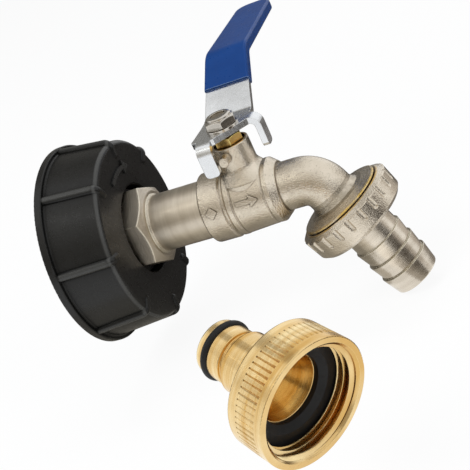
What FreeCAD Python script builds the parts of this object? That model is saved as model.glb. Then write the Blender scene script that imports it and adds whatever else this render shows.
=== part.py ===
import FreeCAD, Part
import math
import os

# IBC tank valve: a screw cap for a tank outlet with a ball tap through it, a hose tail on the tap's outlet
# and a loose quick connector. All lengths are millimetres.
# The origin is the centre of the cap's open face. +X runs along the flow, from the tank to the elbow,
# and +Z is the valve stem, upwards. The tap is closed: its lever points across the flow, along +Y.

# Screw cap
TANK_THREAD_RADIUS = 30.3
TANK_THREAD_LENGTH = 11.0
POCKET_STEP = 1.5
SKIRT_WALL = 8.0
SKIRT_DRAFT = 2.3
FLANGE_WIDTH = 1.9
FLANGE_THICKNESS = 3.2
FLANGE_ROUNDING = 0.6
CAP_HEIGHT = 24.9
CAP_EDGE_RADIUS = 2.2
CAP_FRONT_WALL = 3.0
MOULD_FILLET = 0.8
RECESS_RADIUS = 17.6
RECESS_DEPTH = 6.0
CUP_WALL = 3.3
CUP_FLOOR = 3.0
GRIP_COUNT = 8
GRIP_RADIUS = 1.9
GRIP_HEIGHT = 1.6
GRIP_BEND_RADIUS = 2.1
GRIP_FACE_LENGTH = 5.0
GRIP_FACE_HEIGHT = 0.95
GRIP_PHASE = 80.8

# Cap seal and clamping of the tap in the cap
SEAL_THICKNESS = 2.5
SEAL_CUP_GAP = 1.7
INLET_THREAD_RADIUS = 13.2
THREAD_DEPTH = 1.1
CAP_HOLE_CLEARANCE = 0.15
WASHER_CLEARANCE = 0.1
WASHER_THICKNESS = 2.0
WASHER_MARGIN = 0.8
LOCK_NUT_FLATS = 32.0
LOCK_NUT_THICKNESS = 4.0
TAIL_END_MARGIN = 0.6

# Tail piece
HEX_CHAMFER = 0.053
HEX_FLATS = 29.5
HEX_LENGTH = 10.8
HEX_FRONT_CHAMFER = 0.075
HEX_TURN = 2.5
TUBE_RADIUS = 11.3
TUBE_BORE_RADIUS = 7.5
TUBE_FOOT = 0.6
TAIL_GROOVE_WIDTH = 0.6
TAIL_GROOVE_DEPTH = 0.6
SPIGOT_CLEARANCE = 0.05
RING_RADIUS = 0.8
RING_MARGIN = 0.6

# Valve body, its barrel's sections one after the other from the inlet's end
BODY_REAR_X = 54.2
BODY_RADIUS = 13.65
BODY_EDGE_RADIUS = 0.8
BODY_SOCKET_RADIUS = 11.1
REAR_SECTION_LENGTH = 8.7
BODY_GROOVE_WIDTH = 2.1
BODY_GROOVE_RADIUS = 12.75
BODY_BEAD_LENGTH = 1.7
BODY_BEAD_RADIUS = 13.4
MIDDLE_SECTION_LENGTH = 12.7
MIDDLE_REAR_RADIUS = 13.2
MIDDLE_FRONT_RADIUS = 12.5
SEAM_WIDTH = 1.0
SEAM_DEPTH = 0.4
END_BEAD_LENGTH = 1.6
BODY_TAPER_LENGTH = 3.0
BODY_TAPER_RADIUS = 10.1
CAST_ROUNDING = 0.4
STEM_X = 72.04
BALL_RADIUS = 9.4
BALL_BORE_RADIUS = 6.3
CAVITY_GAP = 0.4
SEAT_REACH = 0.6
CAVITY_HALF_LENGTH = 9.8
PASSAGE_RADIUS = 6.6
NECK_RADIUS = 7.3
NECK_TOP_Z = 23.6
NECK_MOUTH_RADIUS = 6.3
NECK_MOUTH_DEPTH = 2.0
NECK_FLARE_RADIUS = 10.6
NECK_FLARE_Z = 9.5
NECK_FLARE_HEIGHT = 4.6
NECK_FLARE_ROUNDING = 3.5
STUFFING_RADIUS = 5.2
STUFFING_FLOOR_Z = 15.0

# Elbow and outlet, with stations along the outlet's axis from the elbow's corner
CORNER_X = 97.45
OUTLET_TILT = 66.4
ELBOW_RADIUS = 9.3
ELBOW_BEND_RADIUS = 9.7
COLLAR_S = 8.2
COLLAR_LENGTH = 2.1
COLLAR_RADIUS = 10.6
OUTLET_FLANGE_S = 12.8
OUTLET_FLANGE_RADIUS = 17.2
OUTLET_FLANGE_THICKNESS = 0.8
OUTLET_THREAD_RADIUS = 16.6
OUTLET_THREAD_DEPTH = 1.45
OUTLET_THREAD_LENGTH = 6.6
OUTLET_BORE_RADIUS = 11.0
OUTLET_FUNNEL_LENGTH = 3.0

# Stem, packing and gland
STEM_RADIUS = 3.9
STEM_CLEARANCE = 0.1
STEM_COLLAR_RADIUS = 4.9
STEM_COLLAR_CLEARANCE = 0.2
STEM_COLLAR_THICKNESS = 1.5
STEM_GROOVE_Z = 12.3
STEM_GROOVE_WIDTH = 1.7
STEM_SQUARE = 5.6
STEM_THREAD_RADIUS = 3.0
BLADE_THICKNESS = 3.0
BLADE_LENGTH = 8.4
BLADE_DEPTH = 2.6
PACKING_HEIGHT = 4.2
GLAND_FLATS = 10.2
GLAND_HEX_HEIGHT = 4.9
GLAND_TURN = 8.0
GLAND_GAP = 0.3

# Lever
PLATE_THICKNESS = 2.4
PLATE_TOP_Z = 29.6
LEVER_SHIFT = -0.6
STRIP_HUB_WIDTH = 19.4
STRIP_MOUTH_WIDTH = 18.0
STRIP_START_Y = 3.0
HUB_CORNER = 1.0
BEND_Y = 12.2
BEND_RADIUS = 4.0
FOLD_Y = 38.9
FOLD_RISE = 16.3
FOLD_RADIUS = 10.0
GRIP_LENGTH = 59.1
TIP_DROP = 0.7
GRIP_START = 14.6
GRIP_THICKNESS = 4.6
GRIP_FOLD_WIDTH = 17.8
GRIP_TIP_WIDTH = 16.0
GRIP_SIDE_WALL = 0.5
GRIP_TIP_RADIUS = 6.0
GRIP_EDGE_RADIUS = 1.1
TAB_REACH = 12.4
TAB_WIDTH = 5.7
TAB_BOTTOM_Z = 16.8
TAB_BEND_RADIUS = 3.0
TAB_CORNER_RADIUS = 1.7
STOP_RADIUS = 1.9
STOP_X = -0.8
STOP_Z = 20.5
STOP_GAP = 0.3

# Lever fixing
SPRING_WASHER_RADIUS = 6.2
SPRING_WASHER_THICKNESS = 1.0
SPRING_WASHER_SLIT = 0.9
LEVER_NUT_FLATS = 11.0
LEVER_NUT_HEX_HEIGHT = 3.2
LEVER_NUT_COLLAR_RADIUS = 4.9
LEVER_NUT_COLLAR_HEIGHT = 1.1
LEVER_NUT_TURN = 12.0
STUD_RECESS = 0.4
STUD_CLEARANCE = 0.05

# Union nut and hose tail
NUT_GAP = 0.3
NUT_RADIUS = 20.5
NUT_DRAFT = 0.5
NUT_FRONT_WALL = 1.7
NUT_REAR_RADIUS = 17.8
NUT_REAR_CHAMFER = 1.7
NUT_FRONT_CHAMFER = 1.5
NUT_THREAD_CLEARANCE = 0.15
NUT_BORE_CHAMFER = 0.5
NUT_TAIL_CLEARANCE = 0.3
FLUTE_COUNT = 22
FLUTE_RADIUS = 1.3
FLUTE_DEPTH = 0.8
FLUTE_SHARE = 0.62
FLUTE_PHASE = 11.5
HOSE_WASHER_THICKNESS = 1.5
HOSE_WASHER_BORE_RADIUS = 8.6
TAIL_FLANGE_THICKNESS = 1.5
TAIL_FLANGE_RADIUS = 15.9
HOSE_TAIL_RADIUS = 9.9
HOSE_TAIL_BORE_RADIUS = 7.4
BARB_RADIUS = 10.6
BARB_ROOT_RADIUS = 9.7
BARB_TIP_RADIUS = 0.15
BARB_START_S = 32.8
BARB_PITCH = 6.95
BARB_COUNT = 3
HOSE_TAIL_END_S = 54.8
HOSE_TAIL_END_CHAMFER = 0.6
SLIP_GAP = 0.1

# Loose quick connector, with stations along its own axis from its threaded mouth
CONNECTOR_X = 117.6
CONNECTOR_Y = -139.5
CONNECTOR_Z = -2.75
CONNECTOR_TURN = -38.29
CONNECTOR_TILT = -15.96
CONNECTOR_RADIUS = 19.3
CONNECTOR_DRAFT = 0.3
CONNECTOR_NUT_LENGTH = 13.1
CONNECTOR_THREAD_RADIUS = 16.65
CONNECTOR_THREAD_LENGTH = 7.3
CONNECTOR_MOUTH_CHAMFER = 0.8
CONNECTOR_UNDERCUT = 0.95
CONNECTOR_WASHER_THICKNESS = 3.0
CONNECTOR_WASHER_BORE_RADIUS = 10.3
CONNECTOR_WASHER_CHAMFER = 2.2
CONNECTOR_LIP_RADIUS = 10.0
CONNECTOR_FUNNEL_RADIUS = 6.3
CONNECTOR_FUNNEL_END = 20.0
CONNECTOR_BORE_RADIUS = 5.9
CONNECTOR_FLUTE_COUNT = 68
CONNECTOR_FLUTE_DEPTH = 0.5
CONNECTOR_FLUTE_SHARE = 0.6
CONNECTOR_FRONT_BAND = 2.7
CONNECTOR_REAR_BAND = 3.2
SHOULDER_RADIUS = 9.35
SHOULDER_FOOT_RADIUS = 12.3
SHOULDER_SLOPE = 1.2
SHOULDER_END = 27.0
WAIST_RADIUS = 7.6
NOSE_START = 29.4
NOSE_RADIUS = 8.35
NOSE_RING_S = 35.1
NOSE_RING_WIRE = 1.25
NOSE_RING_RADIUS = 9.2
NOSE_END = 38.6

# Small values that several parts share
EDGE_BREAK = 0.3
OVERRUN = 1.0

# Places that follow from the sizes above
ORIGIN = FreeCAD.Vector(0, 0, 0)
X_AXIS = FreeCAD.Vector(1, 0, 0)
Y_AXIS = FreeCAD.Vector(0, 1, 0)
Z_AXIS = FreeCAD.Vector(0, 0, 1)
SKIRT_RADIUS = TANK_THREAD_RADIUS + SKIRT_WALL
SKIRT_FRONT_RADIUS = SKIRT_RADIUS - SKIRT_DRAFT
FLANGE_RADIUS = SKIRT_RADIUS + FLANGE_WIDTH
SEAL_POCKET_RADIUS = TANK_THREAD_RADIUS - POCKET_STEP
CUP_RADIUS = RECESS_RADIUS + CUP_WALL
RECESS_FLOOR_X = CAP_HEIGHT - RECESS_DEPTH
CUP_BOTTOM_X = RECESS_FLOOR_X - CUP_FLOOR
FRONT_INNER_X = CAP_HEIGHT - CAP_FRONT_WALL
CAP_HOLE_RADIUS = INLET_THREAD_RADIUS + CAP_HOLE_CLEARANCE
HEX_REAR_X = RECESS_FLOOR_X + WASHER_THICKNESS
HEX_FRONT_X = HEX_REAR_X + HEX_LENGTH
LOCK_NUT_END_X = CUP_BOTTOM_X - LOCK_NUT_THICKNESS
TAIL_END_X = LOCK_NUT_END_X - TAIL_END_MARGIN
CAVITY_START_X = STEM_X - CAVITY_HALF_LENGTH
CAVITY_END_X = STEM_X + CAVITY_HALF_LENGTH
CAVITY_RADIUS = BALL_RADIUS + CAVITY_GAP
SPIGOT_RADIUS = BODY_SOCKET_RADIUS - SPIGOT_CLEARANCE
BODY_RING_X = CAVITY_START_X - RING_MARGIN - RING_RADIUS
PLATE_MID_Z = PLATE_TOP_Z - PLATE_THICKNESS / 2
NECK_MOUTH_Z = NECK_TOP_Z - NECK_MOUTH_DEPTH
GLAND_HEX_Z = NECK_MOUTH_Z + GLAND_GAP
GLAND_TOP_Z = GLAND_HEX_Z + GLAND_HEX_HEIGHT
STEM_BORE_RADIUS = STEM_RADIUS + STEM_CLEARANCE
STEM_COLLAR_BORE_RADIUS = STEM_COLLAR_RADIUS + STEM_COLLAR_CLEARANCE
TIP_Y = FOLD_Y + GRIP_LENGTH
LEVER_RISE = math.atan2(FOLD_RISE, FOLD_Y - BEND_Y)
MOUTH_Y = BEND_Y + GRIP_START * math.cos(LEVER_RISE)
MOUTH_Z = PLATE_MID_Z + GRIP_START * math.sin(LEVER_RISE)
LEVER_TOP_Z = PLATE_TOP_Z + 2 * FOLD_RISE
LEVER_NUT_Z = PLATE_TOP_Z + SPRING_WASHER_THICKNESS
LEVER_NUT_TOP_Z = LEVER_NUT_Z + LEVER_NUT_HEX_HEIGHT + LEVER_NUT_COLLAR_HEIGHT
OUTLET_ROOT_RADIUS = OUTLET_THREAD_RADIUS - OUTLET_THREAD_DEPTH
SPIGOT_END_S = OUTLET_FLANGE_S + OUTLET_THREAD_LENGTH
HOSE_WASHER_END_S = SPIGOT_END_S + HOSE_WASHER_THICKNESS
TAIL_FLANGE_S = HOSE_WASHER_END_S + SLIP_GAP
TAIL_FLANGE_END_S = TAIL_FLANGE_S + TAIL_FLANGE_THICKNESS
NUT_REAR_S = OUTLET_FLANGE_S + NUT_GAP
NUT_WALL_S = TAIL_FLANGE_END_S
NUT_FRONT_S = NUT_WALL_S + NUT_FRONT_WALL
WASHER_SEAT_S = -CONNECTOR_THREAD_LENGTH - CONNECTOR_WASHER_THICKNESS
UNDERCUT_RADIUS = CONNECTOR_THREAD_RADIUS + CONNECTOR_UNDERCUT


def outline(corners, closed=True):
    """Flat wire in the XZ plane; a corner is (x, z) or (x, z, rounding radius)."""
    points = [FreeCAD.Vector(corner[0], 0, corner[1]) for corner in corners]
    starts = []
    ends = []
    middles = []
    for index, point in enumerate(points):
        radius = corners[index][2] if len(corners[index]) > 2 else 0
        if not radius:
            starts.append(point)
            ends.append(point)
            middles.append(None)
            continue
        back = (points[index - 1] - point).normalize()
        ahead = (points[(index + 1) % len(points)] - point).normalize()
        half_angle = back.getAngle(ahead) / 2
        trim = radius / math.tan(half_angle)
        bisector = (back + ahead).normalize()
        starts.append(point + back * trim)
        ends.append(point + ahead * trim)
        middles.append(point + bisector * (radius / math.sin(half_angle) - radius))
    edges = []
    for index in range(len(points)):
        if middles[index] is not None:
            edges.append(Part.Arc(starts[index], middles[index], ends[index]).toShape())
        following = (index + 1) % len(points)
        if following == 0 and not closed:
            break
        if ends[index].distanceToPoint(starts[following]) > 1e-6:
            edges.append(Part.makeLine(ends[index], starts[following]))
    return Part.Wire(edges)


def pipe(path, radius):
    """Round bar along a path in the XZ plane that starts along its first straight."""
    first = path.OrderedVertexes[0].Point
    second = path.OrderedVertexes[1].Point
    section = Part.Wire(Part.makeCircle(radius, first, second - first))
    return path.makePipeShell([section], True, False)


def turned(corners):
    """Solid of revolution about the X axis; corners are (station, radius, rounding)."""
    return Part.Face(outline(corners)).revolve(ORIGIN, X_AXIS, 360)


def placed(shape, x, y, z, rotation):
    """Copy of a shape whose own X axis and origin are put elsewhere."""
    moved = shape.copy()
    moved.Placement = FreeCAD.Placement(FreeCAD.Vector(x, y, z), rotation).multiply(shape.Placement)
    return moved


def upright(shape):
    """Puts a shape made along X on the stem axis, pointing up."""
    return placed(shape, STEM_X, 0, 0, FreeCAD.Rotation(Y_AXIS, -90))


def on_outlet(shape):
    """Puts a shape made along X on the outlet axis, pointing out of the elbow."""
    return placed(shape, CORNER_X, 0, 0, FreeCAD.Rotation(Y_AXIS, OUTLET_TILT))


def on_connector(shape):
    """Puts a shape made along X on the loose connector's axis, pointing out of its threaded mouth."""
    turn = FreeCAD.Rotation(Z_AXIS, CONNECTOR_TURN)
    tilt = FreeCAD.Rotation(Y_AXIS, -CONNECTOR_TILT)
    return placed(shape, CONNECTOR_X, CONNECTOR_Y, CONNECTOR_Z, turn.multiply(tilt))


def around_x(shape, count, phase):
    """Equal copies of a shape round the X axis."""
    copies = []
    for index in range(count):
        angle = phase + 360.0 * index / count
        copies.append(placed(shape, 0, 0, 0, FreeCAD.Rotation(X_AXIS, angle)))
    return copies


def ring(start, end, inner, outer):
    """Plain ring along X."""
    return turned([(start, inner), (end, inner), (end, outer), (start, outer)])


def rod(start, end, radius):
    """Plain round bar along X."""
    return Part.makeCylinder(radius, end - start, FreeCAD.Vector(start, 0, 0), X_AXIS)


def hex_bar(start, end, flats, turn, front_chamfer=HEX_CHAMFER):
    """Hexagonal bar along X, its corners turned off at 30 degrees; a chamfer is a share of the flats."""
    corner = flats / 2 / math.cos(math.pi / 6)
    points = []
    for index in range(6):
        angle = math.radians(turn + 60 * index)
        points.append(FreeCAD.Vector(start, corner * math.sin(angle), corner * math.cos(angle)))
    bar = Part.Face(Part.makePolygon(points + points[:1])).extrude(X_AXIS * (end - start))
    rear = flats * HEX_CHAMFER
    front = flats * front_chamfer
    slope = math.tan(math.pi / 6)
    return bar.common(turned([
        (start, 0),
        (start, corner - rear / slope),
        (start + rear, corner),
        (end - front, corner),
        (end, corner - front / slope),
        (end, 0),
    ]))


def strip_outline(path, thickness):
    """Outline of a bent sheet in the XZ plane; the path is its middle line with bend radii."""
    points = [FreeCAD.Vector(step[0], 0, step[1]) for step in path]
    sides = {1: [], -1: []}
    for index, point in enumerate(points):
        arriving = (point - points[max(index - 1, 0)]) if index else (points[1] - point)
        leaving = (points[index + 1] - point) if index + 1 < len(points) else arriving
        arriving = FreeCAD.Vector(arriving).normalize()
        leaving = FreeCAD.Vector(leaving).normalize()
        normal = FreeCAD.Vector(-arriving.z - leaving.z, 0, arriving.x + leaving.x).normalize()
        miter = thickness / 2 / math.cos(arriving.getAngle(leaving) / 2)
        bend = arriving.x * leaving.z - arriving.z * leaving.x
        for side in sides:
            corner = point + normal * (side * miter)
            radius = path[index][2]
            if radius:
                radius = radius - math.copysign(thickness / 2, bend) * side
            sides[side].append((corner.x, corner.z, radius))
    return outline(sides[1] + sides[-1][::-1])


def plan_prism(corners, low, high):
    """Upright prism over a rounded plan outline; corners are (x, y, rounding) from the stem axis."""
    face = Part.Face(outline(corners))
    face.rotate(ORIGIN, X_AXIS, -90)
    face.translate(FreeCAD.Vector(STEM_X, 0, low))
    return face.extrude(Z_AXIS * (high - low))


def tank_cap():
    """Moulded screw cap: flange, ribbed skirt, recessed hub cup with the hole for the tap."""
    shell = turned([
        (0, TANK_THREAD_RADIUS),
        (0, FLANGE_RADIUS, FLANGE_ROUNDING),
        (FLANGE_THICKNESS, FLANGE_RADIUS, FLANGE_ROUNDING),
        (FLANGE_THICKNESS, SKIRT_RADIUS, MOULD_FILLET),
        (CAP_HEIGHT, SKIRT_FRONT_RADIUS, CAP_EDGE_RADIUS),
        (CAP_HEIGHT, RECESS_RADIUS, MOULD_FILLET),
        (RECESS_FLOOR_X, RECESS_RADIUS, MOULD_FILLET),
        (RECESS_FLOOR_X, CAP_HOLE_RADIUS),
        (CUP_BOTTOM_X, CAP_HOLE_RADIUS),
        (CUP_BOTTOM_X, CUP_RADIUS, MOULD_FILLET),
        (FRONT_INNER_X, CUP_RADIUS),
        (FRONT_INNER_X, SEAL_POCKET_RADIUS),
        (TANK_THREAD_LENGTH, SEAL_POCKET_RADIUS),
        (TANK_THREAD_LENGTH, TANK_THREAD_RADIUS),
    ])
    grips = around_x(grip_rib(), GRIP_COUNT, GRIP_PHASE)
    return shell.fuse(grips).removeSplitter()


def grip_rib():
    """One half-round grip rib: along the tapered skirt, over its rounded edge and onto the face."""
    taper = SKIRT_DRAFT / (CAP_HEIGHT - FLANGE_THICKNESS)
    sunk = GRIP_RADIUS - GRIP_HEIGHT
    start_x = FLANGE_THICKNESS / 2
    start_radius = SKIRT_RADIUS - sunk + taper * (FLANGE_THICKNESS - start_x)
    face_x = CAP_HEIGHT + GRIP_FACE_HEIGHT - GRIP_RADIUS
    corner_radius = SKIRT_FRONT_RADIUS - sunk + taper * (CAP_HEIGHT - face_x)
    face_radius = SKIRT_FRONT_RADIUS - GRIP_FACE_LENGTH
    path = outline([
        (start_x, start_radius),
        (face_x, corner_radius, GRIP_BEND_RADIUS),
        (face_x, face_radius),
    ], False)
    return pipe(path, GRIP_RADIUS).fuse(Part.makeSphere(GRIP_RADIUS, FreeCAD.Vector(face_x, 0, face_radius)))


def cap_seal():
    """Flat rubber ring inside the cap, against its front wall."""
    inner = CUP_RADIUS + SEAL_CUP_GAP
    return ring(FRONT_INNER_X - SEAL_THICKNESS, FRONT_INNER_X, inner, SEAL_POCKET_RADIUS - SLIP_GAP)


def hub_washer():
    """Rubber washer between the recess floor and the tail piece's hexagon."""
    outer = RECESS_RADIUS - WASHER_MARGIN
    return ring(RECESS_FLOOR_X, HEX_REAR_X, INLET_THREAD_RADIUS + WASHER_CLEARANCE, outer)


def lock_nut():
    """Flat hexagon nut that clamps the tap to the cap from inside."""
    bar = hex_bar(LOCK_NUT_END_X, CUP_BOTTOM_X, LOCK_NUT_FLATS, 0)
    hole = rod(LOCK_NUT_END_X - OVERRUN, CUP_BOTTOM_X + OVERRUN, INLET_THREAD_RADIUS + SPIGOT_CLEARANCE)
    return bar.cut(hole)


def tail_piece():
    """Inlet half of the tap: threaded end, hexagon, tube and the spigot that screws into the body."""
    root = INLET_THREAD_RADIUS - THREAD_DEPTH
    foot = TUBE_RADIUS + TUBE_FOOT
    groove_x = BODY_REAR_X - TAIL_GROOVE_WIDTH
    ring_floor = SPIGOT_RADIUS - 2 * RING_RADIUS
    core = turned([
        (TAIL_END_X, TUBE_BORE_RADIUS, EDGE_BREAK),
        (TAIL_END_X, root, 2 * EDGE_BREAK),
        (HEX_REAR_X + OVERRUN, root),
        (HEX_REAR_X + OVERRUN, foot),
        (HEX_FRONT_X + TUBE_FOOT, foot, EDGE_BREAK),
        (HEX_FRONT_X + TUBE_FOOT, TUBE_RADIUS, EDGE_BREAK),
        (groove_x, TUBE_RADIUS, EDGE_BREAK),
        (groove_x, TUBE_RADIUS - TAIL_GROOVE_DEPTH),
        (BODY_REAR_X, TUBE_RADIUS - TAIL_GROOVE_DEPTH),
        (BODY_REAR_X, SPIGOT_RADIUS),
        (BODY_RING_X - RING_RADIUS, SPIGOT_RADIUS),
        (BODY_RING_X - RING_RADIUS, ring_floor),
        (BODY_RING_X + RING_RADIUS, ring_floor),
        (BODY_RING_X + RING_RADIUS, SPIGOT_RADIUS),
        (CAVITY_START_X, SPIGOT_RADIUS),
        (CAVITY_START_X, TUBE_BORE_RADIUS),
    ])
    collar = hex_bar(HEX_REAR_X, HEX_FRONT_X, HEX_FLATS, -HEX_TURN, HEX_FRONT_CHAMFER)
    collar = collar.cut(rod(HEX_REAR_X - OVERRUN, HEX_FRONT_X + OVERRUN, TUBE_BORE_RADIUS))
    return core.fuse(collar).removeSplitter()


def body_ring():
    """Rubber ring on the tail piece's spigot, sealing it in the body."""
    centre = FreeCAD.Vector(BODY_RING_X, 0, 0)
    return Part.makeTorus(SPIGOT_RADIUS - RING_RADIUS, RING_RADIUS, centre, X_AXIS)


def elbow_bar(radius, extra):
    """Round bar bent along the elbow, from inside the barrel to a little past the bend."""
    turn = math.radians(OUTLET_TILT)
    reach = COLLAR_S + OVERRUN + extra
    return pipe(outline([
        (CAVITY_END_X - extra, 0),
        (CORNER_X, 0, ELBOW_BEND_RADIUS),
        (CORNER_X + reach * math.cos(turn), -reach * math.sin(turn)),
    ], False), radius)


def body_barrel():
    """Outside of the cast barrel, section by section, with the taper into the elbow at its end."""
    groove_x = BODY_REAR_X + REAR_SECTION_LENGTH
    bead_x = groove_x + BODY_GROOVE_WIDTH
    middle_x = bead_x + BODY_BEAD_LENGTH
    middle_end_x = middle_x + MIDDLE_SECTION_LENGTH
    end_bead_x = middle_end_x + SEAM_WIDTH
    taper_x = end_bead_x + END_BEAD_LENGTH
    taper_end_x = taper_x + BODY_TAPER_LENGTH
    return turned([
        (BODY_REAR_X, 0),
        (BODY_REAR_X, BODY_RADIUS, BODY_EDGE_RADIUS),
        (groove_x, BODY_RADIUS, CAST_ROUNDING),
        (groove_x + BODY_GROOVE_WIDTH / 3, BODY_GROOVE_RADIUS, EDGE_BREAK),
        (bead_x - BODY_GROOVE_WIDTH / 3, BODY_GROOVE_RADIUS, EDGE_BREAK),
        (bead_x, BODY_BEAD_RADIUS, CAST_ROUNDING),
        (middle_x, BODY_BEAD_RADIUS, EDGE_BREAK),
        (middle_x + SEAM_WIDTH / 2, MIDDLE_REAR_RADIUS - SEAM_DEPTH, EDGE_BREAK),
        (middle_x + SEAM_WIDTH, MIDDLE_REAR_RADIUS, EDGE_BREAK),
        (middle_end_x, MIDDLE_FRONT_RADIUS, EDGE_BREAK),
        (middle_end_x + SEAM_WIDTH / 2, MIDDLE_FRONT_RADIUS - SEAM_DEPTH, EDGE_BREAK),
        (end_bead_x, MIDDLE_FRONT_RADIUS, CAST_ROUNDING),
        (taper_x, MIDDLE_FRONT_RADIUS, CAST_ROUNDING),
        (taper_end_x, BODY_TAPER_RADIUS, CAST_ROUNDING),
        (taper_end_x + CAST_ROUNDING, 0),
    ])


def neck_outside():
    """Cast neck that carries the stem, flared where it meets the barrel."""
    return upright(turned([
        (NECK_FLARE_Z / 2, 0),
        (NECK_FLARE_Z / 2, NECK_FLARE_RADIUS),
        (NECK_FLARE_Z, NECK_FLARE_RADIUS, BODY_EDGE_RADIUS),
        (NECK_FLARE_Z + NECK_FLARE_HEIGHT, NECK_RADIUS, NECK_FLARE_ROUNDING),
        (NECK_TOP_Z, NECK_RADIUS, CAST_ROUNDING),
        (NECK_TOP_Z, 0),
    ]))


def stop_boss():
    """Round stop that the lever's two tabs come up against."""
    boss = turned([
        (STUFFING_RADIUS, 0),
        (STUFFING_RADIUS, STOP_RADIUS),
        (TAB_REACH, STOP_RADIUS, CAST_ROUNDING),
        (TAB_REACH, 0),
    ])
    return placed(boss, STEM_X + STOP_X, 0, STOP_Z, FreeCAD.Rotation(Z_AXIS, -90))


def outlet_end():
    """Flared collar, flange and threaded spigot at the end of the elbow."""
    rim_s = OUTLET_FLANGE_S - OUTLET_FLANGE_THICKNESS
    return on_outlet(turned([
        (COLLAR_S, 0),
        (COLLAR_S, ELBOW_RADIUS - SLIP_GAP),
        (COLLAR_S + COLLAR_LENGTH, COLLAR_RADIUS, CAST_ROUNDING),
        (rim_s, OUTLET_FLANGE_RADIUS - 2 * EDGE_BREAK, EDGE_BREAK),
        (rim_s + EDGE_BREAK, OUTLET_FLANGE_RADIUS, EDGE_BREAK / 2),
        (OUTLET_FLANGE_S, OUTLET_FLANGE_RADIUS, EDGE_BREAK / 2),
        (OUTLET_FLANGE_S, OUTLET_ROOT_RADIUS),
        (SPIGOT_END_S, OUTLET_ROOT_RADIUS, 2 * EDGE_BREAK),
        (SPIGOT_END_S, 0),
    ]))


def body_hollow():
    """Everything that is bored out of the body: socket, ball chamber, elbow, outlet and stem bores."""
    socket = rod(BODY_REAR_X - OVERRUN, CAVITY_START_X, BODY_SOCKET_RADIUS)
    chamber = rod(CAVITY_START_X - OVERRUN, CAVITY_END_X, CAVITY_RADIUS)
    funnel_s = COLLAR_S + OUTLET_FUNNEL_LENGTH
    outlet = on_outlet(turned([
        (COLLAR_S, 0),
        (COLLAR_S, PASSAGE_RADIUS),
        (funnel_s, PASSAGE_RADIUS),
        (funnel_s + OUTLET_FUNNEL_LENGTH, OUTLET_BORE_RADIUS),
        (SPIGOT_END_S + OVERRUN, OUTLET_BORE_RADIUS),
        (SPIGOT_END_S + OVERRUN, 0),
    ]))
    collar_top = CAVITY_RADIUS + STEM_COLLAR_THICKNESS
    stem = upright(turned([
        (BALL_RADIUS / 2, 0),
        (BALL_RADIUS / 2, STEM_COLLAR_BORE_RADIUS),
        (collar_top, STEM_COLLAR_BORE_RADIUS),
        (collar_top, STEM_BORE_RADIUS),
        (STUFFING_FLOOR_Z, STEM_BORE_RADIUS),
        (STUFFING_FLOOR_Z, STUFFING_RADIUS),
        (NECK_MOUTH_Z, STUFFING_RADIUS),
        (NECK_MOUTH_Z, NECK_MOUTH_RADIUS),
        (NECK_TOP_Z + OVERRUN, NECK_MOUTH_RADIUS),
        (NECK_TOP_Z + OVERRUN, 0),
    ]))
    return [socket, chamber, elbow_bar(PASSAGE_RADIUS, OVERRUN), outlet, stem]


def valve_body():
    """Cast body of the tap: barrel, neck, stop, elbow and outlet in one piece."""
    outside = body_barrel().fuse([neck_outside(), stop_boss(), elbow_bar(ELBOW_RADIUS, 0), outlet_end()])
    return outside.cut(body_hollow()).removeSplitter()


def seat(side):
    """Plastic seat ring beside the ball; side is -1 for the inlet and 1 for the outlet."""
    near = BALL_RADIUS * SEAT_REACH
    ends = sorted((STEM_X + side * near, STEM_X + side * CAVITY_HALF_LENGTH))
    blank = ring(ends[0], ends[1], PASSAGE_RADIUS, CAVITY_RADIUS - SPIGOT_CLEARANCE)
    return blank.cut(Part.makeSphere(BALL_RADIUS + SLIP_GAP, FreeCAD.Vector(STEM_X, 0, 0)))


def ball():
    """Bored ball with the slot that the stem's blade turns; closed, so its bore lies across the flow."""
    centre = FreeCAD.Vector(STEM_X, 0, 0)
    sphere = Part.makeSphere(BALL_RADIUS, centre)
    bore = Part.makeCylinder(BALL_BORE_RADIUS, 2 * BALL_RADIUS, centre - Y_AXIS * BALL_RADIUS, Y_AXIS)
    width = BLADE_THICKNESS + 2 * SLIP_GAP
    floor = BALL_RADIUS - BLADE_DEPTH
    corner = FreeCAD.Vector(STEM_X - BALL_RADIUS, -width / 2, floor)
    slot = Part.makeBox(2 * BALL_RADIUS, width, BALL_RADIUS, corner)
    return sphere.cut([bore, slot])


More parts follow.
